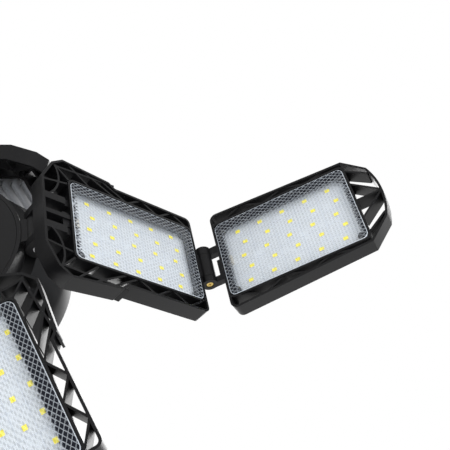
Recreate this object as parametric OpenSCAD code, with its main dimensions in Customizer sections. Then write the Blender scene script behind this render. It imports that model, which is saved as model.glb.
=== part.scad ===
// Deformable garage light: a screw-base hub with five hinged arms of two lens panels each.
// The lamp hangs from its screw base, so +Z is up and the lenses face down when flat.
// The origin is on the base's axis, at the middle of the screw shell's plain collar.

/* [Arms] */
// Upward tilt of the inner panels from flat, arm by arm
arm_tilt = [47.5, 3, 35, 35, 84]; // [0:0.5:90]
// Fold of the outer panels towards the lens side, arm by arm
arm_fold = [65.5, 0, 35, 35, 30]; // [-75:0.5:145]

/* [Lens] */
// Length of a lens
lens_l = 95; // [85:1:105]
// Width of a lens
lens_w = 60; // [54:1:64]
// Thickness of a lens
lens_t = 2.2; // [1.6:0.1:2.8]
// Corner radius of a lens
lens_corner_r = 3; // [2:0.5:6]
// Clearance round a lens in its seat
lens_gap = 0.2; // [0.1:0.05:0.4]

/* [Panel frame] */
// Depth of a panel frame, front to back
frame_depth = 11.5; // [10.5:0.5:14]
// Thickness of the outer wall
wall = 1.6; // [1.2:0.1:2.2]
// Thickness of the tray wall round the lens
tray_wall = 1.5; // [1.2:0.1:2]
// Width of the ledge that the lens rests on
ledge = 1; // [0.8:0.1:1.4]
// Thickness of the lattice ribs
rib = 1.3; // [1:0.1:1.8]
// Thickness of the rib between the arm lugs
mid_rib = 3.2; // [2.5:0.1:4]
// How far the ribs stand back from the front of the frame
rib_set_back = 0.6; // [0:0.1:1.5]
// Side band between the tray and the outer wall at the arm's outer hinge
band = 6.4; // [5:0.2:9]
// Extra width of the inner panel's wide part over its narrow part
flare = 3.8; // [2:0.2:6]
// Further widening of the wide part towards the hub
flare_taper = 3; // [1:0.5:5]
// Length of the open cage at the hub end of the inner panel
hub_cage_l = 18.3; // [16:0.1:22]
// Half width of the hub end's flat edge
hub_edge_half = 26; // [22:0.5:28]
// Length of the open cage at the tip of the outer panel
tip_cage_l = 17.4; // [14:0.1:22]
// Half width of the rounded tip
tip_half = 21; // [16:0.5:24]
// Height of the arc of the rounded tip
tip_rise = 4; // [2:0.5:6]

/* [Light boards] */
// Depth of the light boards' front face under the front of the frame
board_drop = 5.8; // [4.5:0.1:6.5]
// Thickness of a light board
board_t = 1.2; // [1:0.1:1.6]
// Clearance round a board and a heat plate in the tray
board_gap = 0.2; // [0.1:0.05:0.4]
// Spacing of the light chips along a row
chip_pitch_x = 16.6; // [14:0.2:18]
// Spacing of the rows of light chips
chip_pitch_y = 10.4; // [9:0.2:11.5]
// Shift of every second row
chip_shift = 3.2; // [0:0.2:5]
// Light chip length, width and height
chip_size = [3.5, 2.8, 0.7]; // [0.5:0.1:5]
// Thickness of a heat plate
plate_t = 1.5; // [1.2:0.1:2]
// Number of fins on a heat plate
fin_count = 8; // [4:1:10]
// Thickness of a fin
fin_t = 1.1; // [0.8:0.1:1.6]
// Solder under a light chip
solder_t = 0.05; // [0.03:0.01:0.1]

/* [Outer hinge] */
// Distance of the outer hinge from the inner panel's end wall
hinge_gap_in = 8; // [7.5:0.1:10]
// Distance of the outer hinge from the outer panel's end wall
hinge_gap_out = 11; // [9:0.1:13]
// Depth of the outer hinge axis under the front of the frames
hinge_drop = 2; // [1.5:0.1:3]
// Radius of the outer hinge's barrel and lugs
barrel_r = 5.3; // [4.8:0.1:5.8]
// Length of the barrel
barrel_l = 18; // [16:0.5:22]
// Thickness of the lug at the screw head's side
head_lug = 4.4; // [3.6:0.1:6]
// Thickness of the lug at the nut's side
nut_lug = 6; // [5:0.1:8]
// Gap between a barrel and a lug
lug_gap = 0.25; // [0.15:0.05:0.5]
// Diameter of the outer hinge screw
hinge_screw_d = 2.5; // [2:0.1:3]
// Diameter of the outer hinge screw's head
hinge_head_d = 4.4; // [4:0.1:5]
// Running clearance of a hinge screw in its bore
run_gap = 0.06; // [0.03:0.01:0.1]

/* [Hub hinge] */
// Radius at which the hub hinges lie
hub_hinge_r = 60.6; // [60:0.1:66]
// Distance of the hub hinge from the hub end of the inner panel
hub_hinge_in = 8.5; // [8:0.1:10]
// Depth of the hub hinge axis under the front of the frame
hub_hinge_drop = 21.5; // [21:0.1:25]
// Radius of the knuckle
knuckle_r = 6.3; // [5.5:0.1:6.8]
// Length of the knuckle
knuckle_l = 17; // [14:0.5:19]
// Thickness of an arm lug
arm_lug = 5.2; // [4:0.1:6]
// Width of an arm lug along the arm
arm_lug_w = 14; // [12:0.5:14.5]
// Diameter of the hub hinge screw
hub_screw_d = 3; // [2.5:0.1:3.5]
// Diameter of the hub hinge screw's head
hub_head_d = 5.6; // [5:0.1:6]

/* [Hub] */
// Radius of the crown that carries the knuckles
crown_r = 52.5; // [49:0.5:52.5]
// Height of the crown below the hinge axis
crown_drop = 5; // [4:0.5:5.5]
// Radius of the housing's shoulder, beside the knuckles
shoulder_r = 58; // [55:0.5:60]
// Drop of the shoulder from the hinge axis
shoulder_drop = 9; // [8.5:0.5:12]
// Radius of the housing's belly
belly_r = 69; // [64:0.5:69]
// Drop of the belly's widest part from the hinge axis
belly_drop = 34; // [28:1:40]
// Height of the belly's straight side
belly_l = 12; // [6:1:20]
// Radius at the upper end of the housing's cone
cone_r = 44; // [38:1:50]
// Height of the housing's cone
cone_l = 54; // [44:1:70]
// Radius of the rounded edge over the cone
roof_round = 10; // [6:0.5:14]
// Slope of the housing's roof
roof_slope = 15; // [10:0.5:25]
// Wall of the hub housing
hub_wall = 2.4; // [2:0.1:3.2]
// Radius of the neck under the screw base
neck_r = 17.5; // [16:0.5:22]
// Length of the neck
neck_l = 7; // [5:0.5:12]
// Thickness of the hub's front cover
cover_t = 2.5; // [2:0.1:3.5]
// Clearance round the front cover
cover_gap = 0.25; // [0.15:0.05:0.5]
// Rise of the front cover's dished middle
cover_dish = 4; // [2:0.5:6]
// Width of the vent slots in the front cover
vent_w = 2.4; // [1.6:0.1:3]
// Number of vent slots
vent_count = 12; // [6:1:16]
// Diameter of the screw bosses and of the driver's posts
boss_d = 7; // [6:0.2:8]
// Diameter of the cover screws and of the driver's screws
cover_screw_d = 2.5; // [2:0.1:2.8]
// Length of the cover screws under their heads
cover_screw_l = 10; // [7:0.5:12]

/* [Screw base] */
// Radius of the screw shell over its thread and collar
shell_r = 13.1; // [13:0.05:13.2]
// Depth of the thread
thread_depth = 0.8; // [0.6:0.05:1]
// Turns of thread
thread_turns = 5; // [4:1:5]
// Length of the plain collar
collar_l = 6; // [4:0.5:8]
// Sheet thickness of the shell
shell_t = 0.5; // [0.3:0.1:0.8]
// Clearance between the shell's thread and the neck's spigot
spigot_gap = 0.6; // [0.3:0.1:0.9]
// Wall of the spigot
spigot_wall = 1.6; // [1.2:0.1:2]
// Height of the insulator
insulator_l = 4.6; // [4:0.1:5.4]

/* [Driver] */
// Radius of the driver board
driver_r = 44; // [38:1:46]
// Diameter of the wires to the screw base
wire_d = 1.8; // [1.4:0.1:2.4]
// Length of the posts that carry the driver board
post_l = 24; // [18:1:40]
// Number of posts
post_count = 3; // [3:1:4]
// Thickness of the driver board
driver_t = 1.6; // [1:0.1:2]
// Transformer core length, width and height
core_size = [18, 28, 15]; // [10:1:30]
// Transformer bobbin length, width and height
bobbin_size = [24, 24, 3]; // [2:1:26]
// Diameter and height of the choke
choke_size = [14, 11]; // [8:1:16]
// Diameter and height of a capacitor
capacitor_size = [12, 22]; // [8:1:24]
// Rectifier length, width and height
rectifier_size = [14, 4, 12]; // [3:1:16]
// Controller length, width and height
controller_size = [12, 8, 4]; // [3:1:14]

/* [Hidden] */
arm_count = 5;
thread_pitch = 3.629;
$fn = 48;
eps = 0.02;
plastic = [0.045, 0.045, 0.05];
aluminium = [0.72, 0.73, 0.75];
steel = [0.62, 0.62, 0.63];
brass = [0.80, 0.62, 0.24];

// Panel coordinates: x along the arm, y across it, z = 0 at the front of the frame.
tray_in_x = lens_l / 2 + lens_gap;
tray_in_y = lens_w / 2 + lens_gap;
tray_x = tray_in_x + tray_wall;
tray_y = tray_in_y + tray_wall;
open_x = lens_l / 2 - ledge;
open_y = lens_w / 2 - ledge;
open_r = 2;
narrow_y = tray_y + band + wall;
wide_y = narrow_y + flare;
hub_end_x = -tray_x - hub_cage_l;
hinge_in_x = tray_x + hinge_gap_in;
hinge_out_x = -tray_x - hinge_gap_out;
hub_hinge_x = hub_end_x + hub_hinge_in;
corner_r = 4;

// Round the hub, the panels' chamfers follow the border between neighbouring arms.
sector = 180 / arm_count;
border_gap = 2.7;
hub_end_r = hub_hinge_r - hub_hinge_in;
function border_y(x) = (hub_end_r + x - hub_end_x) * tan(sector) - border_gap;
chamfer_x = hub_end_x + 7.5;
wide_top_y = wide_y + flare_taper;
shoulder_x = hub_end_x + (wide_top_y + border_gap) / tan(sector) - hub_end_r;
step_x = -17.5;
step_l = 4.5;

// Hub coordinates: z = 0 in the plane of the hub hinges, z towards the lens side.
belly_z = -belly_drop;
cone_z = belly_z - belly_l;
cone_end_z = cone_z - cone_l;
cone_angle = atan2(belly_r - cone_r, cone_l);
round_x = cone_r - roof_round * cos(cone_angle);
round_z = cone_end_z + roof_round * sin(cone_angle);
roof_r = round_x + roof_round * sin(roof_slope);
roof_z = round_z - roof_round * cos(roof_slope);
neck_z = roof_z - (roof_r - neck_r) * tan(roof_slope);
neck_end_z = neck_z - neck_l;
hub_z = neck_end_z - collar_l / 2;

plate_screw_inset = 2.9;
plate_screw_x = open_x - plate_screw_inset;
plate_screw_y = open_y - plate_screw_inset;
plate_screw_d = 2.2;
plate_hole_d = 2.7;
plate_head_d = 4.2;
plate_head_t = 1.5;
boss_r = 3;
boss_floor = 0.8;
boss_hole_l = board_drop - lens_t - boss_floor;
plate_back = board_drop + board_t + plate_t;

function unit(v) = v / norm(v);

// Moves each edge of a counter-clockwise outline inwards by d
function inset(p, d) = [for (i = [0:len(p) - 1])
    let (n = len(p),
         u = unit(p[i] - p[(i + n - 1) % n]),
         v = unit(p[(i + 1) % n] - p[i]),
         s = [-u.y - v.y, u.x + v.x])
    p[i] + s * d / (1 + u * v)];

// Points on an arc, from angle a to angle b
function arc(centre, r, a, b, steps) = [for (i = [0:steps])
    let (t = a + (b - a) * i / steps) centre + r * [cos(t), sin(t)]];

// Closes a half outline that runs above the x axis with its mirror image
function closed(half) = concat(half, [for (i = [len(half) - 1:-1:0]) [half[i].x, -half[i].y]]);

function rounded(x, y, r) = closed(concat(arc([x - r, y - r], r, 0, 90, 6),
                                          arc([r - x, y - r], r, 90, 180, 6)));

inner_outline = closed(concat(
    arc([tray_x - corner_r, narrow_y - corner_r], corner_r, 0, 90, 6),
    [[step_x + step_l, narrow_y], [step_x, wide_y], [shoulder_x, wide_top_y],
     [chamfer_x, border_y(chamfer_x)], [hub_end_x, hub_edge_half]]));

tip_x = tray_x + tip_cage_l;
tip_r = (pow(tip_half, 2) + pow(tip_rise, 2)) / (2 * tip_rise);
tip_angle = asin(tip_half / tip_r);
tip_shoulder_y = tray_y + 3;
outer_corner_r = 5;
outer_outline = closed(concat(
    arc([tip_x - tip_r, 0], tip_r, tip_angle / 12, tip_angle, 6),
    [[tray_x - 0.6, tip_shoulder_y]],
    arc([outer_corner_r - tray_x, narrow_y - outer_corner_r], outer_corner_r, 90, 180, 6)));

// Height of the outer panel's side wall over the arm's middle line
function outer_side_y(x) = tip_shoulder_y
    + (narrow_y - tip_shoulder_y) * (tray_x - x) / (2 * tray_x - outer_corner_r);

// --- Places ---

// Hub coordinates, with z towards the lens side
module in_hub() {
    translate([0, 0, hub_z]) rotate([180, 0, 0]) children();
}

// Panel coordinates of arm k's inner panel
module on_inner(k) {
    translate([0, 0, hub_z]) rotate([0, 0, (k - 1) * 360 / arm_count]) rotate([180, 0, 0])
        translate([hub_hinge_r, 0, 0]) rotate([0, arm_tilt[k - 1], 0])
            translate([-hub_hinge_x, 0, hub_hinge_drop]) children();
}

// Panel coordinates of arm k's outer panel
module on_outer(k) {
    on_inner(k) translate([hinge_in_x, 0, -hinge_drop]) rotate([0, -arm_fold[k - 1], 0])
        translate([-hinge_out_x, 0, hinge_drop]) children();
}

module both_sides() {
    children();
    mirror([0, 1, 0]) children();
}

module at_plate_screws() {
    for (x = [-1, 1], y = [-1, 1]) translate([x * plate_screw_x, y * plate_screw_y, 0]) children();
}

// --- Panel frames ---

module slab(outline, low, high) {
    translate([0, 0, low]) linear_extrude(high - low) polygon(outline);
}

// An upright rib from p to q
module rib_at(p, q) {
    translate([p.x, p.y, -frame_depth]) rotate([0, 0, atan2(q.y - p.y, q.x - p.x)])
        translate([0, -rib / 2, 0]) cube([norm(q - p), rib, frame_depth - rib_set_back]);
}

// The outer wall, the tray round the lens and the bosses for the plate screws
module frame_shell(outline) {
    difference() {
        slab(outline, -frame_depth, 0);
        difference() {
            slab(inset(outline, wall), -frame_depth - 1, 1);
            slab(rounded(tray_x, tray_y, lens_corner_r + tray_wall), -frame_depth - 2, 2);
        }
        slab(rounded(tray_in_x, tray_in_y, lens_corner_r), -lens_t, 1);
        difference() {
            slab(rounded(open_x, open_y, open_r), -frame_depth - 1, 0);
            at_plate_screws() translate([0, 0, -board_drop]) cylinder(r = boss_r, h = frame_depth);
        }
        at_plate_screws() translate([0, 0, -board_drop - 1])
            cylinder(d = plate_screw_d + 2 * run_gap, h = boss_hole_l + 1);
    }
}

// Zigzag ribs between the tray and a side wall whose height is wall_y(x)
module zigzag(x_from, x_to, bays, y_from, y_to) {
    pitch = (x_to - x_from) / bays;
    for (i = [0:bays - 1]) {
        x = x_from + i * pitch;
        low = tray_y - tray_wall / 2;
        side = y_from + (y_to - y_from) * i / bays;
        side_next = y_from + (y_to - y_from) * (i + 1) / bays;
        if (i % 2 == 0) rib_at([x, low], [x + pitch, side_next]);
        else rib_at([x, side], [x + pitch, low]);
    }
}

// Ribs of the open cage between the hub end and the tray, and of the wide side bands
module inner_ribs() {
    side_mid = wide_y - wall / 2;
    both_sides() {
        rib_at([chamfer_x + 3, border_y(chamfer_x) - 1], [1 - tray_x, tray_y - 1]);
        rib_at([hub_end_x + wall / 2, hub_edge_half - 2], [1 - tray_x, tray_y - 4.5]);
        rib_at([chamfer_x + 2.8, wide_y - 4.58], [step_x + 4.3, wide_y - 1]);
        rib_at([step_x - 29.9, side_mid + 2], [step_x - 15.5, tray_y]);
        rib_at([step_x - 18.7, side_mid + 1.2], [step_x + 3.7, tray_y]);
        rib_at([step_x - 7.3, side_mid + 0.5], [step_x + 12.1, tray_y]);
        zigzag(step_x + 12.7, tray_x - 3, 4, narrow_y - wall / 2, narrow_y - wall / 2);
    }
    translate([hub_end_x + wall / 2, -mid_rib / 2 - 1, -frame_depth])
        cube([hub_cage_l, mid_rib, frame_depth - rib_set_back]);
    translate([-tray_x - 4.8, -8, -frame_depth]) cube([5, 11, frame_depth - rib_set_back - 1]);
}

// The curved rib that ties a cage corner to its arm lug
module arc_rib() {
    arc_r = 22.7;
    intersection() {
        translate([hub_end_x - 10.5, hub_edge_half + 3.7, -frame_depth]) difference() {
            cylinder(r = arc_r + rib / 2, h = frame_depth - rib_set_back, $fn = 96);
            translate([0, 0, -1]) cylinder(r = arc_r - rib / 2, h = frame_depth + 2, $fn = 96);
        }
        slab(inset(inner_outline, wall / 2), -frame_depth - 1, 1);
        translate([hub_end_x, knuckle_l / 2, -frame_depth - 1]) cube([hub_cage_l, 60, frame_depth + 2]);
    }
}

// One lug of the hub hinge, from the front of the cage back to the hinge axis
module arm_lug_plate() {
    y0 = knuckle_l / 2 + lug_gap;
    translate([0, y0, 0]) {
        translate([hub_hinge_x - arm_lug_w / 2, 0, -hub_hinge_drop])
            cube([arm_lug_w, arm_lug, hub_hinge_drop - rib_set_back]);
        translate([hub_end_x + wall / 2, 0, -frame_depth])
            cube([hub_cage_l, arm_lug, frame_depth - rib_set_back - 1.2]);
        translate([hub_hinge_x, arm_lug, -hub_hinge_drop]) rotate([90, 0, 0])
            cylinder(r = arm_lug_w / 2, h = arm_lug);
    }
}

module along_y(from, length, d) {
    translate([0, from, 0]) rotate([-90, 0, 0]) cylinder(d = d, h = length);
}

lug_outer_y = knuckle_l / 2 + lug_gap + arm_lug;
hub_head_t = 2;
hub_nut_t = 2.4;
head_room = 0.4;

module inner_frame(k) {
    barrel_y = barrel_l / 2;
    color(plastic) on_inner(k) difference() {
        union() {
            frame_shell(inner_outline);
            inner_ribs();
            both_sides() {
                arc_rib();
                arm_lug_plate();
            }
            translate([hinge_in_x, 0, -hinge_drop]) along_y(-barrel_y, barrel_l, 2 * barrel_r);
            translate([tray_x - wall / 2, -barrel_y, -hinge_drop - 5])
                cube([hinge_gap_in + wall / 2, barrel_l, 5.8]);
        }
        translate([hinge_in_x, 0, -hinge_drop])
            along_y(-barrel_y - 1, barrel_l + 2, hinge_screw_d + 2 * run_gap);
        translate([hub_hinge_x, 0, -hub_hinge_drop]) {
            along_y(-lug_outer_y - 1, 2 * lug_outer_y + 2, hub_screw_d + 2 * run_gap);
            along_y(-lug_outer_y - 1, hub_head_t + head_room + 1, hub_head_d + 2 * head_room);
            along_y(lug_outer_y - hub_nut_t - head_room, hub_nut_t + head_room + 1,
                    hub_head_d + 4 * head_room);
        }
    }
}

// Struts of the open cage at the tip
module outer_ribs() {
    both_sides() {
        rib_at([tray_x - 1, 27], [tray_x + tip_cage_l - 4.3, 16.8]);
        rib_at([tray_x - 1, 15], [tray_x + tip_cage_l - 1.6, 0.9]);
        zigzag(outer_corner_r - tray_x + 3, tray_x - 12, 5,
               outer_side_y(outer_corner_r - tray_x) - wall / 2, outer_side_y(tray_x - 12) - wall / 2);
    }
    rib_at([tray_x - 1, 0], [tip_x - wall / 2, 0]);
}

module outer_lug(y0, thickness) {
    translate([hinge_out_x, y0, -hinge_drop]) {
        along_y(0, thickness, 2 * barrel_r);
        translate([0, 0, -5]) cube([hinge_gap_out + wall / 2, thickness, 5]);
    }
}

hinge_head_t = 1.4;
hinge_nut_t = 2;
head_side_y = -barrel_l / 2 - lug_gap - head_lug;
nut_side_y = barrel_l / 2 + lug_gap + nut_lug;

module outer_frame(k) {
    web = 2.6;
    color(plastic) on_outer(k) difference() {
        union() {
            frame_shell(outer_outline);
            outer_ribs();
            outer_lug(head_side_y, head_lug);
            outer_lug(barrel_l / 2 + lug_gap, nut_lug);
            translate([-tray_x - web, head_side_y + 1, -hinge_drop - 5])
                cube([web + wall / 2, barrel_l / 2 + head_lug + 2, 5]);
        }
        translate([hinge_out_x, 0, -hinge_drop]) {
            along_y(head_side_y - 1, nut_side_y - head_side_y + 2, hinge_screw_d + 2 * run_gap);
            along_y(head_side_y - 1, hinge_head_t + head_room + 1, hinge_head_d + 2 * head_room);
            along_y(nut_side_y - hinge_nut_t - head_room, hinge_nut_t + head_room + 1,
                    hinge_head_d + 3.4 * head_room);
        }
    }
}

// --- What a panel holds ---

module lens() {
    color([0.86, 0.91, 0.97, 0.4])
        slab(rounded(lens_l / 2, lens_w / 2, lens_corner_r - lens_gap), -lens_t, -0.15);
}

// Board with its light chips and its lead connector
module led_board() {
    color("white") difference() {
        slab(rounded(open_x - board_gap, open_y - board_gap, open_r - board_gap),
             -board_drop - board_t, -board_drop);
        at_plate_screws() translate([0, 0, -board_drop - board_t - 1])
            cylinder(d = plate_hole_d, h = board_t + 2);
    }
    color([0.95, 0.85, 0.2])
        for (row = [-2:2], col = [-2:2])
            translate([col * chip_pitch_x + (row % 2 == 0 ? 0 : chip_shift) - chip_size.x / 2,
                       row * chip_pitch_y - chip_size.y / 2, solder_t - board_drop])
                cube(chip_size);
    color("ivory") translate([1.5 - open_x, -3.5, solder_t - board_drop]) cube([3.6, 7, 2.4]);
}

// Finned heat plate that closes the tray from behind
module heat_plate() {
    fin_span = 2 * (open_y - 4.5);
    fin_l = 2 * open_x - 18;
    color(aluminium) difference() {
        union() {
            slab(rounded(open_x - board_gap, open_y - board_gap, open_r - board_gap),
                 -plate_back, -board_drop - board_t);
            for (i = [0:fin_count - 1])
                translate([-fin_l / 2, fin_span * (i / (fin_count - 1) - 0.5) - fin_t / 2,
                           -frame_depth + 0.2])
                    cube([fin_l, fin_t, frame_depth - plate_back - 0.2 + eps]);
        }
        at_plate_screws() translate([0, 0, -plate_back - 1]) cylinder(d = plate_hole_d, h = plate_t + 2);
    }
}

// Cross recess cut into a screw head that faces -z, at height z
module cross_recess(z, size) {
    for (turn = [0, 90]) rotate([0, 0, turn])
        translate([-size / 2, -size / 8, z - eps]) cube([size, size / 4, size / 4]);
}

module plate_screws() {
    color(steel) at_plate_screws() difference() {
        union() {
            translate([0, 0, -plate_back - plate_head_t]) cylinder(d = plate_head_d, h = plate_head_t);
            translate([0, 0, -plate_back - eps])
                cylinder(d = plate_screw_d, h = plate_back - board_drop + boss_hole_l - 0.2);
        }
        cross_recess(-plate_back - plate_head_t, plate_head_d * 0.6);
    }
}

// A hinge screw along +y from its head at y = 0, with its nut ending at y = length
module hinge_screw(d, head_d, head_t, nut_t, length) {
    rotate([-90, 0, 0]) {
        difference() {
            union() {
                cylinder(d = head_d, h = head_t);
                cylinder(d = d, h = length - nut_t);
            }
            cross_recess(0, head_d * 0.6);
        }
        translate([0, 0, length - nut_t + eps]) cylinder(d = head_d + 0.9, h = nut_t, $fn = 6);
    }
}

// --- Hub ---

// Wall profile of the housing from the crown to the neck, moved inwards by d
function housing_side(d) = concat(
    [[crown_r - d, -knuckle_r - 0.7 * d], [shoulder_r - 1.4 * d, -shoulder_drop - 0.7 * d],
     [belly_r - 4 - d, belly_z + 10], [belly_r - 1 - d, belly_z + 3], [belly_r - d, belly_z],
     [belly_r - d, cone_z], [belly_r - 1 - d, cone_z - 2]],
    arc([round_x, round_z], roof_round - d, -cone_angle, roof_slope - 90, 8));

// Hollow spigot of the neck, inside the screw shell
spigot_r = shell_r - thread_depth - shell_t - spigot_gap;
spigot_in_r = spigot_r - spigot_wall;
spigot_l = collar_l + 9;
spigot_end = neck_end_z - spigot_l;

// Screws of the front cover and of the driver board
seat_z = crown_drop - cover_t;
cover_screw_r = crown_r - hub_wall - 5;
cover_head = [5.4, 1.8];
driver_head = [5, 1.8];
driver_screw_l = 9;
screw_pass = 0.9;
screw_bite = 0.1;
boss_l = cover_screw_l + 4;
post_r = driver_r - 6;
driver_z = seat_z - post_l;
board_back = driver_z - driver_t;

module round_the_hub() {
    for (k = [0:arm_count - 1]) rotate([0, 0, k * 360 / arm_count]) children();
}

module at_cover_screws() {
    round_the_hub() rotate([0, 0, sector]) translate([cover_screw_r, 0, 0]) children();
}

module at_posts() {
    for (k = [0:post_count - 1]) rotate([0, 0, k * 360 / post_count + 30])
        translate([post_r, 0, 0]) children();
}

module knuckle() {
    lap = 2.2;
    step = 0.6;
    translate([hub_hinge_r, 0, 0]) along_y(-knuckle_l / 2, knuckle_l, 2 * knuckle_r);
    translate([crown_r - lap, -knuckle_l / 2, step - knuckle_r])
        cube([hub_hinge_r - crown_r + lap, knuckle_l, knuckle_r + crown_drop - 2 * step]);
}

module hub_housing() {
    boss_web = 2;
    color(plastic) in_hub() difference() {
        union() {
            difference() {
                rotate_extrude($fn = 120) polygon(concat(
                    [[0, crown_drop], [crown_r, crown_drop]],
                    housing_side(0),
                    [[neck_r, neck_z], [neck_r, neck_end_z], [spigot_r, neck_end_z],
                     [spigot_r, spigot_end], [0, spigot_end]]));
                rotate_extrude($fn = 120) polygon(concat(
                    [[0, crown_drop + 1], [crown_r - hub_wall, crown_drop + 1],
                     [crown_r - hub_wall, -knuckle_r]],
                    housing_side(hub_wall),
                    [[neck_r - hub_wall, neck_z], [neck_r - hub_wall, neck_end_z + hub_wall],
                     [spigot_in_r, neck_end_z + hub_wall - 0.5], [spigot_in_r, spigot_end - 1],
                     [0, spigot_end - 1]]));
            }
            round_the_hub() knuckle();
            at_cover_screws() translate([0, 0, seat_z - boss_l]) {
                cylinder(d = boss_d, h = boss_l);
                translate([0, -boss_web / 2, 0]) cube([boss_d - 0.5, boss_web, boss_l]);
            }
        }
        round_the_hub() translate([hub_hinge_r, 0, 0])
            along_y(-knuckle_l / 2 - 1, knuckle_l + 2, hub_screw_d + 2 * run_gap);
        at_cover_screws() translate([0, 0, seat_z - cover_screw_l])
            cylinder(d = cover_screw_d + screw_bite, h = cover_screw_l + 1);
    }
}

module hub_front_cover() {
    r = crown_r - hub_wall - cover_gap;
    inner_r = r - 12;
    dish_r = inner_r - 6;
    vent_r = inner_r / 2 - 6;
    color(plastic) in_hub() difference() {
        union() {
            rotate_extrude($fn = 120) polygon([
                [0, seat_z + cover_dish], [dish_r, seat_z + cover_dish], [inner_r, seat_z], [r, seat_z],
                [r, crown_drop], [inner_r, crown_drop], [dish_r, crown_drop + cover_dish],
                [0, crown_drop + cover_dish]]);
            at_posts() translate([0, 0, driver_z]) cylinder(d = boss_d, h = post_l + eps);
        }
        at_cover_screws() translate([0, 0, seat_z - 1])
            cylinder(d = cover_screw_d + screw_pass, h = cover_t + 2);
        at_posts() translate([0, 0, driver_z - 1])
            cylinder(d = cover_screw_d + screw_bite, h = driver_screw_l + 3);
        for (k = [0:vent_count - 1]) rotate([0, 0, k * 360 / vent_count])
            translate([vent_r, -vent_w / 2, seat_z]) cube([vent_r + 2, vent_w, cover_dish + 2 * cover_t]);
    }
}

// Pan-head screw with its head's underside at z = 0 and its shank towards -z
module pan_screw(d, head_d, head_t, length) {
    difference() {
        union() {
            cylinder(d = head_d, h = head_t);
            translate([0, 0, -length]) cylinder(d = d, h = length + eps);
        }
        translate([0, 0, head_t]) rotate([180, 0, 0]) cross_recess(0, head_d * 0.6);
    }
}

module hub_screws() {
    color(steel) in_hub() {
        at_cover_screws() translate([0, 0, crown_drop])
            pan_screw(cover_screw_d, cover_head[0], cover_head[1], cover_screw_l);
        at_posts() translate([0, 0, board_back]) rotate([180, 0, 0])
            pan_screw(cover_screw_d, driver_head[0], driver_head[1], driver_screw_l);
    }
}

module hub_hinge_screws() {
    color(steel) in_hub() round_the_hub() translate([hub_hinge_r, head_room - lug_outer_y, 0])
        hinge_screw(hub_screw_d, hub_head_d, hub_head_t, hub_nut_t, 2 * (lug_outer_y - head_room));
}

module outer_fasteners(k) {
    on_outer(k) {
        plate_screws();
        color(brass) translate([hinge_out_x, head_side_y + head_room, -hinge_drop])
            hinge_screw(hinge_screw_d, hinge_head_d, hinge_head_t, hinge_nut_t,
                        nut_side_y - head_side_y - 2 * head_room);
    }
}

// --- Driver ---

module driver_board() {
    color([0.1, 0.35, 0.2]) in_hub() difference() {
        translate([0, 0, board_back]) cylinder(r = driver_r, h = driver_t, $fn = 96);
        at_posts() translate([0, 0, board_back - 1])
            cylinder(d = cover_screw_d + 0.5, h = driver_t + 2);
    }
}

// A block that stands on the board with its middle at x, y
module block_at(x, y, size) {
    translate([x - size.x / 2, y - size.y / 2, 0]) cube(size);
}

// Transformer, choke, capacitors, rectifier and controller on the driver board
module driver_parts() {
    in_hub() translate([0, 0, board_back]) rotate([180, 0, 0]) {
        color("khaki") block_at(0, 0, bobbin_size);
        color("darkslategray") translate([0, 0, bobbin_size.z]) block_at(0, 0, core_size);
        color("sienna") translate([24, 0, 0]) cylinder(d = choke_size[0], h = choke_size[1]);
        color("black") for (y = [-12, 12]) translate([-26, y, 0])
            cylinder(d = capacitor_size[0], h = capacitor_size[1]);
        color("dimgray") block_at(21, -24, rectifier_size);
        color("black") block_at(1, 26, controller_size);
    }
}

// A round wire through a list of points, a little thicker at its bends
module wire(points) {
    d = wire_d;
    for (i = [0:len(points) - 2]) {
        run = points[i + 1] - points[i];
        translate(points[i]) rotate([0, acos(run.z / norm(run)), atan2(run.y, run.x)])
            cylinder(d = d, h = norm(run), $fn = 24);
        if (i > 0) translate(points[i]) sphere(d = 1.25 * d, $fn = 24);
    }
}

module feed_wires() {
    bend_z = board_back - 18;
    bore_r = spigot_in_r - wire_d;
    contact_z = hub_z - base_top + insulator_l;
    valley_r = shell_r - thread_depth - shell_t;
    color("firebrick") in_hub()
        wire([[14, 18, board_back], [14, 18, bend_z], [3, 2, neck_end_z], [0, 0, spigot_end],
              [0, 0, contact_z]]);
    color("white") in_hub()
        wire([[20, 18, board_back], [20, 18, bend_z], [bore_r, 0, neck_end_z + 2],
              [bore_r, 0, spigot_end - 1.5], [valley_r - 0.1, 0, spigot_end - 1.5]]);
}

// --- Screw base, in part coordinates ---

thread_start = collar_l / 2;
thread_end = thread_start + thread_turns * thread_pitch;
base_top = thread_end + 4.2;

// Outline of the shell from the collar to its closed-in end, moved inwards by d
function shell_side(d) = concat(
    [[shell_r - d, -collar_l / 2]],
    [for (i = [0:thread_turns * 16])
        let (z = thread_start + i * thread_pitch / 16,
             wave = thread_depth * (1 - cos(360 * i / 16)) / 2)
        [shell_r - d - wave, z]],
    [[shell_r - d - 1.2, thread_end + 1.4], [shell_r - d - 3.2, thread_end + 2.4]]);

module base_shell() {
    side_in = shell_side(shell_t);
    color(aluminium) rotate_extrude($fn = 96) polygon(concat(
        shell_side(0), [for (i = [len(side_in) - 1:-1:0]) side_in[i]]));
}

module base_insulator() {
    rim_r = shell_r - shell_t - 3.2;
    color([0.08, 0.08, 0.08]) rotate_extrude($fn = 96) polygon([
        [3.2, thread_end - 1], [rim_r - 0.8, thread_end - 1], [rim_r - 0.1, thread_end + 1.6],
        [rim_r - 0.1, thread_end + 2.6], [5.4, base_top], [3.2, base_top]]);
}

module base_contact() {
    color(brass) translate([0, 0, base_top - insulator_l]) {
        cylinder(r = 3.1, h = insulator_l + 0.5);
        translate([0, 0, insulator_l]) rotate_extrude() polygon(concat(
            [[0, 0], [4.7, 0]], arc([0, -6], 7.62, 51.9, 90, 6)));
    }
}

// --- All the pieces ---

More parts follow.
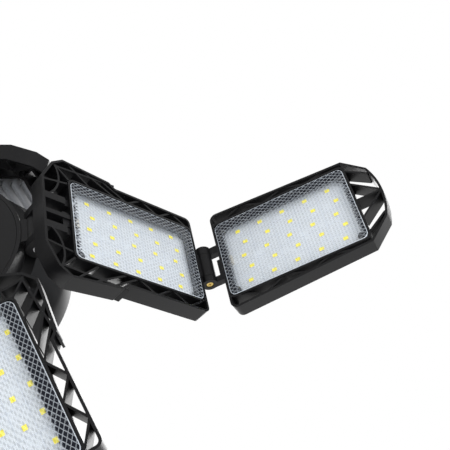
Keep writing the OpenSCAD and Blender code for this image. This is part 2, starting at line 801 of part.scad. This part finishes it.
base_shell();
base_insulator();
base_contact();
hub_housing();
hub_front_cover();
hub_screws();
hub_hinge_screws();
driver_board();
driver_parts();
feed_wires();
for (k = [1:arm_count]) {
    inner_frame(k);
    on_inner(k) lens();
    on_inner(k) led_board();
    on_inner(k) heat_plate();
    on_inner(k) plate_screws();
    outer_frame(k);
    on_outer(k) lens();
    on_outer(k) led_board();
    on_outer(k) heat_plate();
    outer_fasteners(k);
}
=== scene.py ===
import math

import bpy
from mathutils import Matrix, Vector


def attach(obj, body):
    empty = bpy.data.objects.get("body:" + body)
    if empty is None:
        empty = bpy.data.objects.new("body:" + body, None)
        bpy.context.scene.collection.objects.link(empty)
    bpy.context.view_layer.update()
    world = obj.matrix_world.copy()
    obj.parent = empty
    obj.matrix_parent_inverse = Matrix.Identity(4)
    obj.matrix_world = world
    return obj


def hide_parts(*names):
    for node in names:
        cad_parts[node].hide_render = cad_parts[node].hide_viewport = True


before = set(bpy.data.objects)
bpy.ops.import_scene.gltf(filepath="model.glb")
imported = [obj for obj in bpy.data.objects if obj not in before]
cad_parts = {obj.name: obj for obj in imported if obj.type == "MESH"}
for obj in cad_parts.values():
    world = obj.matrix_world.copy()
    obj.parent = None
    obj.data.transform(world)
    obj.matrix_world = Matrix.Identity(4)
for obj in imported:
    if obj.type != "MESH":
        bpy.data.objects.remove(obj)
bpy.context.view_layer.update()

# ---------------------------------------------------------------- moulded frames
# Each panel is held by a frame of black nylon, moulded in one piece with its tray,
# its lattice of ribs and its hinge lugs. The mould leaves a fine grain on the broad
# faces. The hub's housing and cover are the same plastic.


class Signal:
    """A shader socket that takes part in expressions, in the material it belongs to."""

    def __init__(self, tree, socket=None):
        self.tree = tree
        self.socket = socket

    def node(self, kind, settings=None, sockets=None, out=0):
        made = self.tree.nodes.new("ShaderNode" + kind)
        for name, value in (settings or {}).items():
            setattr(made, name, value)
        for name, value in (sockets or {}).items():
            if isinstance(value, Signal):
                self.tree.links.new(value.socket, made.inputs[name])
            else:
                made.inputs[name].default_value = value
        return Signal(self.tree, made.outputs[out])

    def maths(self, operation, *terms):
        return self.node("Math", {"operation": operation}, dict(enumerate(terms)))

    def __add__(self, other):
        return self.maths("ADD", self, other)

    def __radd__(self, other):
        return self.maths("ADD", other, self)

    def __sub__(self, other):
        return self.maths("SUBTRACT", self, other)

    def __rsub__(self, other):
        return self.maths("SUBTRACT", other, self)

    def __mul__(self, other):
        return self.maths("MULTIPLY", self, other)

    def __rmul__(self, other):
        return self.maths("MULTIPLY", other, self)


def finish(name, **constants):
    """A material and the start of its expressions, with the shader's constant sockets set."""
    material = bpy.data.materials.new(name)
    material.use_nodes = True
    shader = material.node_tree.nodes["Principled BSDF"]
    for socket, value in constants.items():
        shader.inputs[socket.replace("_", " ")].default_value = value
    return material, Signal(material.node_tree)


def feed(material, **signals):
    """Links expressions to the shader's sockets."""
    shader = material.node_tree.nodes["Principled BSDF"]
    for socket, signal in signals.items():
        material.node_tree.links.new(signal.socket, shader.inputs[socket.replace("_", " ")])


def object_place(start):
    """Where a point lies in its piece's own mesh."""
    return start.node("TexCoord", out=3)


def noise(place, scale, detail=2.0):
    """Soft random change from 0 to 1, with about scale humps to each unit of place."""
    return place.node("TexNoise", sockets={"Vector": place, "Scale": scale, "Detail": detail})


def bumps(height, strength, depth):
    """Small bumps, depth metres high, which follow an expression."""
    return height.node("Bump", sockets={"Strength": strength, "Distance": depth, "Height": height})


def mix_colours(start, share, low, high):
    """A colour between low and high, by share. Each is three numbers or an expression."""
    low, high = (one if isinstance(one, Signal) else (*one, 1) for one in (low, high))
    return start.node("Mix", {"data_type": "RGBA"}, {0: share, 6: low, 7: high}, out=2)


def moulded(name, low, high, gloss, grain):
    """Black plastic with a fine grain, and broad soft changes in its gloss."""
    material, start = finish(name, Specular_IOR_Level=0.22)
    place = object_place(start)
    broad = noise(place, 28.0, 3.0)
    fine = noise(place, 1500.0)
    flow = noise(place, 160.0)
    feed(material,
         Base_Color=mix_colours(start, broad * 0.6 + fine * 0.4, low, high),
         Roughness=gloss[0] + (gloss[1] - gloss[0]) * (broad * 0.7 + flow * 0.3),
         Normal=bumps(fine, grain, 0.00012))
    return material


black_nylon = moulded("black_nylon", (0.004, 0.004, 0.0045), (0.010, 0.010, 0.011),
                      gloss=(0.28, 0.44), grain=0.35)

ARMS = (1, 2, 3, 4, 5)
PANELS = [(which, k) for k in ARMS for which in ("inner", "outer")]
SAME_POINT = 0.000002


def copy_of(node, name, crease):
    """A copy of a CAD node, smooth wherever its faces meet at less than crease degrees."""
    piece = bpy.data.objects.new(name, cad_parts[node].data.copy())
    bpy.context.scene.collection.objects.link(piece)
    bpy.ops.object.select_all(action="DESELECT")
    piece.select_set(True)
    bpy.context.view_layer.objects.active = piece
    bpy.ops.object.mode_set(mode="EDIT")
    bpy.ops.mesh.select_all(action="SELECT")
    bpy.ops.mesh.remove_doubles(threshold=SAME_POINT)
    bpy.ops.mesh.customdata_custom_splitnormals_clear()
    bpy.ops.object.mode_set(mode="OBJECT")
    bpy.ops.object.shade_smooth_by_angle(angle=math.radians(crease))
    return piece


def enter(piece, body, node):
    """Gives a finished piece its body and hides the CAD node that it stands for."""
    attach(piece, body)
    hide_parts(node)


def dress(piece, material, body, node):
    """Gives a finished piece its one material and its body, and hides the CAD node it stands for.
    """
    piece.data.materials.clear()
    piece.data.materials.append(material)
    for face in piece.data.polygons:
        face.material_index = 0
    enter(piece, body, node)


for which, k in PANELS:
    dress(copy_of(f"{which}_frame_{k}", f"{which}_frame_moulding_{k}", crease=28), black_nylon,
          f"{which}_arm_{k}", f"{which}_frame_{k}")

# ---------------------------------------------------------------- hub
# The housing is a hollow bell of the same nylon with five knuckles round its crown. Its
# front cover is dished, has vent slots, and is held by five screws. Both have a smoother
# face than the panel frames, so the studio light runs down them in broad soft bands.
hub_nylon = moulded("hub_nylon", (0.007, 0.007, 0.0075), (0.013, 0.013, 0.014),
                    gloss=(0.32, 0.40), grain=0.18)
dress(copy_of("hub_housing", "hub_housing_moulding", crease=24), hub_nylon, "hub",
      "hub_housing")
dress(copy_of("hub_front_cover", "hub_cover_moulding", crease=24), hub_nylon, "hub",
      "hub_front_cover")

# ---------------------------------------------------------------- lenses
# A clear moulded acrylic window, 95 by 60 mm, set flush in its tray. Inside a plain
# polished rim its face is crossed by rows of small prisms. Its colour is painted light:
# a pale painted sheen on the rim and along the ridges, painted shade at the prisms' feet,
# and near three of its edges painted shade for the dark wall of the tray seen through them.
MM = 0.001
HUB_Z = -120.821                # the height that the arms are measured from
ARM_TURN = 72                   # degrees from one arm to the next
HUB_HINGE_R = 60.6              # the hub hinges, from the middle of the hub
HUB_HINGE = (-59.0, -21.5)      # an inner panel's hinge at the hub, in its own x and z
INNER_HINGE = (57.2, -2.0)      # the fold hinge, in the inner panel's x and z
OUTER_HINGE = (-60.2, -2.0)     # the fold hinge, in the outer panel's x and z
TILT = (47.5, 3, 35, 35, 84)    # how far each arm is lifted at rest, in degrees
FOLD = (65.5, 0, 35, 35, 30)    # how far its outer panel is folded in at rest
LENS = (95.0, 60.0, 2.05)
LENS_FACE = -0.15
LENS_CORNER = 4.4
LENS_EDGE = 0.35


def moved(x, y, z):
    """A shift in millimetres."""
    return Matrix.Translation((x * MM, y * MM, z * MM))


def turned(degrees, axis):
    """A turn about an axis through the origin."""
    return Matrix.Rotation(math.radians(degrees), 4, axis)


def panel_place(which, k):
    """Where the middle of a panel's face is: x along the arm, y across, z out of the face."""
    place = (moved(0, 0, HUB_Z) @ turned(ARM_TURN * (k - 1), "Z") @ turned(180, "X")
             @ moved(HUB_HINGE_R, 0, 0) @ turned(TILT[k - 1], "Y")
             @ moved(-HUB_HINGE[0], 0, -HUB_HINGE[1]))
    if which == "outer":
        place = (place @ moved(INNER_HINGE[0], 0, INNER_HINGE[1]) @ turned(-FOLD[k - 1], "Y")
                 @ moved(-OUTER_HINGE[0], 0, -OUTER_HINGE[1]))
    return place


def panel_map(piece):
    """A UV map that runs from 0 to 1 along and across the lens, from the panel's x and y."""
    layer = piece.data.uv_layers.new(name="panel")
    for loop in piece.data.loops:
        x, y, _ = piece.data.vertices[loop.vertex_index].co
        layer.data[loop.index].uv = (x / (LENS[0] * MM) + 0.5, y / (LENS[1] * MM) + 0.5)


def panel_millimetres(uv):
    """The panel's x and y in millimetres, from its UV map."""
    along, across = (uv.node("SeparateXYZ", sockets={0: uv}, out=axis) for axis in (0, 1))
    return (along - 0.5) * LENS[0], (across - 0.5) * LENS[1]


def pick(piece, kind, wanted):
    """Selects the faces or edges of an object in edit mode whose middle and direction suit."""
    bpy.ops.mesh.select_mode(type="FACE" if kind == "faces" else "EDGE")
    bpy.ops.object.mode_set(mode="OBJECT")
    mesh = piece.data
    for items in (mesh.vertices, mesh.edges, mesh.polygons):
        for item in items:
            item.select = False
    if kind == "faces":
        for face in mesh.polygons:
            face.select = wanted(face.center, face.normal)
    else:
        for edge in mesh.edges:
            a, b = (mesh.vertices[i].co for i in edge.vertices)
            edge.select = wanted((a + b) / 2, (b - a).normalized())
    bpy.ops.object.mode_set(mode="EDIT")


ALIGNED = 0.9                   # the cosine above which a direction counts as an axis's own


def upright(middle, direction):
    """Whether an edge runs straight out of the panel."""
    return abs(direction.z) > ALIGNED


def outward(middle, normal):
    """Whether a face is the front of its piece."""
    return normal.z > ALIGNED


def block(name, size, middle):
    """A box of that size in millimetres, its place in its mesh, in edit mode."""
    bpy.ops.object.select_all(action="DESELECT")
    bpy.ops.mesh.primitive_cube_add(size=1)
    piece = bpy.context.object
    piece.name = name
    piece.data.transform(moved(*middle) @ Matrix.Diagonal([*(s * MM for s in size), 1]))
    bpy.ops.object.mode_set(mode="EDIT")
    return piece


def placed(model, name, place):
    """A copy of a model with its own mesh, which holds its place on the light."""
    piece = model.copy()
    piece.data = model.data.copy()
    piece.name = name
    bpy.context.scene.collection.objects.link(piece)
    piece.data.transform(place)
    return piece


lens = block("lens", LENS, (0, 0, LENS_FACE - LENS[2] / 2))
pick(lens, "edges", upright)
bpy.ops.mesh.bevel(offset=LENS_CORNER * MM, segments=6, profile=0.5)
pick(lens, "faces", outward)
bpy.ops.mesh.bevel(offset=LENS_EDGE * MM, segments=2, profile=0.5)
bpy.ops.object.mode_set(mode="OBJECT")
panel_map(lens)
bpy.ops.object.shade_smooth_by_angle(angle=math.radians(30))


def rise(value, low, high):
    """A soft step from 0 to 1 as value goes from low to high."""
    return value.node("MapRange", {"interpolation_type": "SMOOTHSTEP"},
                      {"Value": value, "From Min": low, "From Max": high})


def lower(one, other):
    """The lower of two values."""
    return one.maths("MINIMUM", one, other)


def higher(one, other):
    """The higher of two values."""
    return one.maths("MAXIMUM", one, other)


def unsigned(value):
    """A value without its sign."""
    return value.maths("ABSOLUTE", value)


def distance_to_line(value):
    """How far a value is from the nearest whole number, from 0 to 1."""
    return value.maths("PINGPONG", value, 0.5) * 2


PRISM = 2.2
ROWS_ALONG = 0.5 / PRISM        # rows of prisms to a millimetre; they slant and lie 2.3 mm apart
ROWS_ACROSS = 0.8 / PRISM
RIM = (0.34, 0.48)              # where the plain rim ends, in millimetres from the edge
RIDGE = (0.08, 0.26)            # where the parts of a prism end or begin, as shares of the
FACET = (0.08, 0.20)            # way from its ridge to its foot
FOOT = (0.30, 0.58)

clear_acrylic, start = finish("clear_acrylic", Specular_IOR_Level=0.14, IOR=1.49)
uv = start.node("UVMap", {"uv_map": "panel"})
x_mm, y_mm = panel_millimetres(uv)
cloud = noise(uv, 9.0, 3.0)
patch = noise(uv, 38.0)

past_x = unsigned(x_mm) - (LENS[0] / 2 - LENS_CORNER)
past_y = unsigned(y_mm) - (LENS[1] / 2 - LENS_CORNER)
round_x, round_y = higher(past_x, 0.0), higher(past_y, 0.0)
round_off = round_x * round_x + round_y * round_y
from_edge = (LENS_CORNER - round_off.maths("SQRT", round_off)
             - lower(higher(past_x, past_y), 0.0))
inside = rise(from_edge, *RIM)

slope = lower(distance_to_line(x_mm * ROWS_ALONG + y_mm * ROWS_ACROSS),
              distance_to_line(x_mm * ROWS_ALONG - y_mm * ROWS_ACROSS))
ridge = 1 - rise(slope, *RIDGE)
facet = rise(slope, *FACET)
foot = rise(slope, *FOOT)


def painted_wall_shade(distance, reach, gaps):
    """Painted shade for the tray's dark wall seen through the prisms near an edge: it fades over
    reach, and patches break it up.
    """
    return (1 - rise(distance, *reach)) * rise(patch, *gaps)


# Painted shade where the tray's dark wall would show through the prisms: along the far long side,
# at both short ends, and widest at the hinge end.
far_side_painted_shade = painted_wall_shade(LENS[1] / 2 - y_mm, reach=(6.0, 8.6), gaps=(0.22, 0.42))
ends_painted_shade = painted_wall_shade(LENS[0] / 2 - unsigned(x_mm) + 3.0 * patch, reach=(4.0, 6.0),
                     gaps=(0.42, 0.54))
hinge_end_painted_shade = painted_wall_shade(x_mm + LENS[0] / 2 + 4.0 * patch, reach=(6.0, 8.4), gaps=(0.34, 0.46))
painted_wall_shade_share = higher(far_side_painted_shade, higher(ends_painted_shade, hinge_end_painted_shade))

# The lens colour is painted light: a pale painted sheen on the rim and ridges, near-black painted
# shade at the prisms' feet and by the walls, and a cover share that lets it show.
painted_sheen = mix_colours(start, cloud, (0.66, 0.76, 0.88), (0.93, 0.96, 0.99))
painted_shade_share = inside * lower(foot * 0.72 + painted_wall_shade_share * facet, 1.0)
painted_cover = (0.01 + 0.20 * ridge + 0.24 * foot * rise(cloud, 0.2, 0.5)
        + painted_wall_shade_share * (0.1 * ridge + 0.94 * facet))
feed(clear_acrylic,
     Base_Color=mix_colours(start, painted_shade_share, painted_sheen, (0.008, 0.010, 0.016)),
     Alpha=0.9 * (1 - inside) + inside * lower(painted_cover, 1.0),
     Roughness=0.08 + 0.14 * ridge * inside,
     Normal=bumps(slope * inside, 0.5, 0.0004))

for which, k in PANELS:
    window = placed(lens, f"{which}_lens_window_{k}", panel_place(which, k))
    if which == "inner":
        for corner in window.data.uv_layers["panel"].data:
            corner.uv.x = 1 - corner.uv.x
    dress(window, clear_acrylic, f"{which}_arm_{k}", f"{which}_lens_{k}")
bpy.data.objects.remove(lens)

# ---------------------------------------------------------------- light boards
# A thin board with a white solder mask lies on the heat plate under each lens. Copper
# tracks under the mask join twenty-five light chips, each a white ceramic body with a
# well of yellow phosphor. Round the board's edge its colour is painted shade, near black,
# for the tray's wall beside it.
BOARD = (92.6, 57.6, 1.2)
BOARD_FACE = -5.8
BOARD_CORNER = 1.8
BARE_EDGE = 0.5
PAINTED_MARGIN_EDGE = (1.7, 2.1)          # where the painted shade gives way to the white mask, in millimetres from the board's edge
TRACK_GAP = (0.25, 0.40)        # where a gap between tracks ends, from its middle
SOLDER = 0.05
CHIP = (3.5, 2.8, 0.7)
CHIP_CORNER = 0.25
CHIP_WALL = 0.12
CHIP_WELL = 0.14
CHIP_STEP = (16.6, 10.4)
CHIP_SHIFT = 3.2                # every second row stands this much further from the hinge
CHIP_PLACES = [(col * CHIP_STEP[0] + (0 if row % 2 == 0 else CHIP_SHIFT), row * CHIP_STEP[1])
               for row in range(-2, 3) for col in range(-2, 3)]
PLUG = (3.6, 7.0, 2.4)
PLUG_X = -43.2
PLUG_WALL = 0.5
PLUG_MOUTH = 1.8
PLUG_CORNER = 0.3

board = block("board", BOARD, (0, 0, BOARD_FACE - BOARD[2] / 2))
pick(board, "edges", upright)
bpy.ops.mesh.bevel(offset=BOARD_CORNER * MM, segments=5, profile=0.5)
pick(board, "faces", outward)
bpy.ops.mesh.inset(thickness=BARE_EDGE * MM)
bpy.ops.object.mode_set(mode="OBJECT")
panel_map(board)


def track(value, step):
    """1 on a track, and 0 in the gap half way between two rows of chips."""
    from_gap = value + step / 2
    return rise(from_gap.maths("PINGPONG", from_gap, step / 2), *TRACK_GAP)


white_mask, start = finish("white_mask", Specular_IOR_Level=0.45)
uv = start.node("UVMap", {"uv_map": "panel"})
x_mm, y_mm = panel_millimetres(uv)
copper = track(y_mm, CHIP_STEP[1]) * track(x_mm, CHIP_STEP[0])
speck = noise(uv, 160.0)
# Painted shade: the colour turns near black within about 2 mm of the board's edge, beside the
# tray's wall.
clear_of_painted_margin = rise(lower(BOARD[0] / 2 - unsigned(x_mm), BOARD[1] / 2 - unsigned(y_mm)), *PAINTED_MARGIN_EDGE)
white = mix_colours(start, 0.75 * copper + 0.25 * speck, (0.76, 0.82, 0.90), (0.88, 0.93, 0.98))
feed(white_mask,
     Base_Color=mix_colours(start, clear_of_painted_margin, (0.012, 0.012, 0.014), white),
     Roughness=0.34 + 0.12 * speck,
     Normal=bumps(copper, 0.5, 0.00008))

chip = block("chip", CHIP, (0, 0, BOARD_FACE + SOLDER + CHIP[2] / 2))
pick(chip, "edges", upright)
bpy.ops.mesh.bevel(offset=CHIP_CORNER * MM, segments=1)
pick(chip, "faces", outward)
bpy.ops.mesh.inset(thickness=CHIP_WALL * MM)
bpy.ops.mesh.extrude_region_move(TRANSFORM_OT_translate={"value": (0, 0, -CHIP_WELL * MM)})
bpy.ops.object.mode_set(mode="OBJECT")

ceramic, start = finish("chip_ceramic", Specular_IOR_Level=0.5)
speck = noise(object_place(start), 900.0)
feed(ceramic,
     Base_Color=mix_colours(start, speck, (0.80, 0.82, 0.84), (0.90, 0.91, 0.92)),
     Roughness=0.3 + 0.15 * speck)

# The phosphor is given a faint painted glow from its yellow, though the chips are not lit.
phosphor, start = finish("phosphor", Specular_IOR_Level=0.2, Emission_Strength=0.35)
speck = noise(object_place(start), 1400.0, 3.0)
yellow = mix_colours(start, speck, (0.98, 0.80, 0.000), (1.00, 0.92, 0.002))
feed(phosphor, Base_Color=yellow, Emission_Color=yellow,
     Roughness=0.4 + 0.2 * speck,
     Normal=bumps(speck, 0.4, 0.00005))

chip.data.materials.append(ceramic)
chip.data.materials.append(phosphor)
for face in chip.data.polygons:
    off_middle = max(abs(face.center.x) / CHIP[0], abs(face.center.y) / CHIP[1]) / MM
    face.material_index = 1 if outward(face.center, face.normal) and off_middle < 0.3 else 0

plug = block("plug", PLUG, (PLUG_X, 0, BOARD_FACE + SOLDER + PLUG[2] / 2))
pick(plug, "faces", lambda middle, normal: normal.x > ALIGNED)
bpy.ops.mesh.inset(thickness=PLUG_WALL * MM)
bpy.ops.mesh.extrude_region_move(TRANSFORM_OT_translate={"value": (-PLUG_MOUTH * MM, 0, 0)})
pick(plug, "edges", lambda middle, direction: (
    upright(middle, direction) and middle.x < (PLUG_X - PLUG[0] / 2 + PLUG_WALL) * MM))
bpy.ops.mesh.bevel(offset=PLUG_CORNER * MM, segments=1)
bpy.ops.object.mode_set(mode="OBJECT")

ivory_nylon, start = finish("ivory_nylon", Specular_IOR_Level=0.4)
speck = noise(object_place(start), 400.0)
feed(ivory_nylon,
     Base_Color=mix_colours(start, speck, (0.72, 0.69, 0.60), (0.82, 0.80, 0.72)),
     Roughness=0.4 + 0.15 * speck)

for which, k in PANELS:
    place = panel_place(which, k)
    body = f"{which}_arm_{k}"
    node = f"{which}_led_board_{k}"
    dress(placed(board, f"{which}_white_board_{k}", place), white_mask, body, node)

    chips = [placed(chip, "light_chip", place @ moved(x, y, 0)) for x, y in CHIP_PLACES]
    bpy.ops.object.select_all(action="DESELECT")
    for one in chips:
        one.select_set(True)
    bpy.context.view_layer.objects.active = chips[0]
    bpy.ops.object.join()
    group = bpy.context.object
    group.name = f"{which}_light_chips_{k}"
    enter(group, body, node)

    dress(placed(plug, f"{which}_lead_connector_{k}", place), ivory_nylon, body,
          node)
for model in (board, chip, plug):
    bpy.data.objects.remove(model)

# ---------------------------------------------------------------- heat plates
# A finned plate of bare extruded aluminium closes each tray from behind and carries the
# heat of the light board away. The die leaves it with a satin face.


def bare_metal(name, low, high, gloss, scale, depth):
    """Metal whose gloss and tone change over its face with the marks of its making."""
    material, start = finish(name, Metallic=1.0)
    place = object_place(start)
    broad = noise(place, 45.0, 4.0)
    fine = noise(place, scale, 3.0)
    feed(material,
         Base_Color=mix_colours(start, broad * 0.5 + fine * 0.5, low, high),
         Roughness=gloss[0] + (gloss[1] - gloss[0]) * (0.5 * broad + 0.5 * fine),
         Normal=bumps(fine, 0.3, depth))
    return material


def refinish(material, *names):
    """Gives CAD nodes that keep their shape a better material."""
    for name in names:
        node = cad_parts[name]
        node.data.materials.clear()
        node.data.materials.append(material)


satin_aluminium = bare_metal("satin_aluminium", (0.46, 0.47, 0.49), (0.58, 0.59, 0.61),
                             gloss=(0.36, 0.52), scale=700.0, depth=0.00003)
refinish(satin_aluminium, *(f"{which}_heat_plate_{k}" for which, k in PANELS))

# ---------------------------------------------------------------- screws
# Cross-recess machine screws. Those of the hub and the inner panels are zinc plated steel.
# Those of the outer panels are yellow plated, and so is each fold hinge's screw, whose
# head shows beside the barrel.
zinc_plate = bare_metal("zinc_plate", (0.50, 0.51, 0.53), (0.66, 0.66, 0.66),
                        gloss=(0.22, 0.40), scale=1200.0, depth=0.00004)
yellow_plate = bare_metal("yellow_plate", (0.56, 0.38, 0.10), (0.80, 0.62, 0.22),
                          gloss=(0.24, 0.42), scale=1200.0, depth=0.00004)
for k in ARMS:
    dress(copy_of(f"inner_plate_screws_{k}", f"inner_plate_screw_set_{k}", crease=30),
          zinc_plate, f"inner_arm_{k}", f"inner_plate_screws_{k}")
    dress(copy_of(f"outer_fasteners_{k}", f"outer_fastener_set_{k}", crease=30),
          yellow_plate, f"outer_arm_{k}", f"outer_fasteners_{k}")
dress(copy_of("hub_screws", "hub_screw_set", crease=30), zinc_plate, "hub",
      "hub_screws")
dress(copy_of("hub_hinge_screws", "hub_hinge_screw_set", crease=30), zinc_plate, "hub",
      "hub_hinge_screws")

# ---------------------------------------------------------------- screw base
# The shell is rolled from bright sheet, with a black glass insulator pressed into its
# end and a soldered brass button in the middle of that.
rolled_shell = bare_metal("rolled_shell", (0.44, 0.44, 0.43), (0.58, 0.58, 0.57),
                          gloss=(0.16, 0.30), scale=500.0, depth=0.00003)
dress(copy_of("base_shell", "base_shell_rolled", crease=40), rolled_shell, "hub",
      "base_shell")

black_glass, start = finish("black_glass", Specular_IOR_Level=0.6)
swirl = noise(object_place(start), 240.0, 4.0)
feed(black_glass,
     Base_Color=mix_colours(start, swirl, (0.006, 0.006, 0.008), (0.020, 0.018, 0.022)),
     Roughness=0.08 + 0.14 * swirl)
dress(copy_of("base_insulator", "base_insulator_glass", crease=30), black_glass, "hub",
      "base_insulator")

soldered_brass = bare_metal("soldered_brass", (0.56, 0.50, 0.36), (0.74, 0.68, 0.52),
                            gloss=(0.24, 0.46), scale=600.0, depth=0.00008)
dress(copy_of("base_contact", "base_contact_button", crease=30), soldered_brass, "hub",
      "base_contact")

# ---------------------------------------------------------------- driver
# Inside the hub a round green board on three posts carries the transformer, choke,
# capacitors and rectifier that feed the arms. Two insulated wires run up to the base.


def ribbing(place, direction, scale, wobble):
    """Even ribs across a direction, such as a weave or the turns of a coil."""
    return place.node("TexWave", {"bands_direction": direction},
                      {"Vector": place, "Scale": scale, "Distortion": wobble})


green_mask, start = finish("green_mask", Specular_IOR_Level=0.5)
place = object_place(start)
weave = ribbing(place, "X", 260.0, 0.6)
speck = noise(place, 300.0, 3.0)
feed(green_mask,
     Base_Color=mix_colours(start, 0.3 * weave + 0.7 * speck, (0.02, 0.13, 0.05),
                            (0.04, 0.22, 0.09)),
     Roughness=0.26 + 0.16 * speck)
refinish(green_mask, "driver_board")

wound_parts, start = finish("wound_parts", Specular_IOR_Level=0.45)
turns = ribbing(object_place(start), "Z", 500.0, 0.4)
feed(wound_parts,
     Base_Color=mix_colours(start, turns, (0.03, 0.03, 0.035), (0.16, 0.12, 0.09)),
     Roughness=0.36 + 0.2 * turns,
     Normal=bumps(turns, 0.5, 0.0002))
refinish(wound_parts, "driver_parts")

wire_skin, start = finish("wire_skin", Specular_IOR_Level=0.4)
speck = noise(object_place(start), 500.0)
feed(wire_skin,
     Base_Color=mix_colours(start, speck, (0.34, 0.03, 0.02), (0.50, 0.06, 0.04)),
     Roughness=0.42 + 0.14 * speck)
dress(copy_of("feed_wires", "feed_wire_pair", crease=40), wire_skin, "hub", "feed_wires")

# ---------------------------------------------------------------- studio
# A pale floor well below the hanging lamp, a white surround, and three soft lights: a
# broad one above, one from the left and one from below to reach the lenses.
FLOOR_DROP = 0.75
FLOOR_SIZE = 80
SURROUND_LIGHT = 0.55           # the surround's strength on what it lights; it is seen at 1
CAMERA_RAY, GLOSSY_RAY, TRANSMISSION_RAY = 0, 3, 6      # outputs of the Light Path node
LAMP_MIDDLE = (0.05, 0, -0.12)

floor_finish, start = finish("studio_floor", Specular_IOR_Level=0.1, Emission_Strength=0.32)
soft = noise(object_place(start), 0.8)
feed(floor_finish,
     Base_Color=mix_colours(start, soft, (0.86, 0.86, 0.86), (0.90, 0.90, 0.90)),
     Emission_Color=mix_colours(start, start.node("LightPath", out=CAMERA_RAY),
                                (0, 0, 0), (1, 1, 1)),
     Roughness=0.8 + 0.1 * soft)
bpy.ops.object.select_all(action="DESELECT")
bpy.ops.mesh.primitive_plane_add(size=FLOOR_SIZE)
floor = bpy.context.object
floor.name = "studio_floor"
floor.data.transform(Matrix.Translation((0, 0, -FLOOR_DROP)))
floor.data.materials.append(floor_finish)

world = bpy.data.worlds.new("studio_surround")
bpy.context.scene.world = world
world.use_nodes = True
surround = Signal(world.node_tree)
seen = (surround.node("LightPath", out=CAMERA_RAY) + surround.node("LightPath", out=GLOSSY_RAY)
        + surround.node("LightPath", out=TRANSMISSION_RAY))
strength = SURROUND_LIGHT + (1 - SURROUND_LIGHT) * lower(seen, 1.0)
background = world.node_tree.nodes["Background"]
background.inputs["Color"].default_value = (1, 1, 1, 1)
world.node_tree.links.new(strength.socket, background.inputs["Strength"])


def soft_light(name, place, aim, size, power):
    """A square soft light at a place, turned to what it aims at and hidden from the camera."""
    lamp = bpy.data.lights.new(name, "AREA")
    lamp.shape = "SQUARE"
    lamp.size = size
    lamp.energy = power
    stand = bpy.data.objects.new(name, lamp)
    stand.visible_camera = False
    bpy.context.scene.collection.objects.link(stand)
    away = (Vector(place) - Vector(aim)).to_track_quat("Z", "Y").to_matrix().to_4x4()
    stand.matrix_world = Matrix.Translation(place) @ away


soft_light("light_from_below", (0.5, 0.2, -0.68), (0.1, 0, -0.12), size=0.8, power=5.0)
soft_light("light_from_left", (-0.9, 0.9, -0.2), LAMP_MIDDLE, size=0.9, power=7.0)
soft_light("light_from_above", (0.4, -0.5, 1.0), LAMP_MIDDLE, size=1.0, power=10.0)

# The camera was solved from the corners of two lenses in the photograph.
camera = bpy.data.objects.new("photo_camera", bpy.data.cameras.new("photo_camera"))
bpy.context.scene.collection.objects.link(camera)
camera.data.lens = 60.2178
camera.data.sensor_width = 36
camera.matrix_world = Matrix(((0.973532, 0.224078, -0.044992, 0.149565),
                              (0.200223, -0.741256, 0.640664, 0.303579),
                              (0.110208, -0.632715, -0.766502, -0.451756),
                              (0, 0, 0, 1)))
bpy.context.scene.camera = camera
bpy.context.scene.view_settings.view_transform = "Standard"
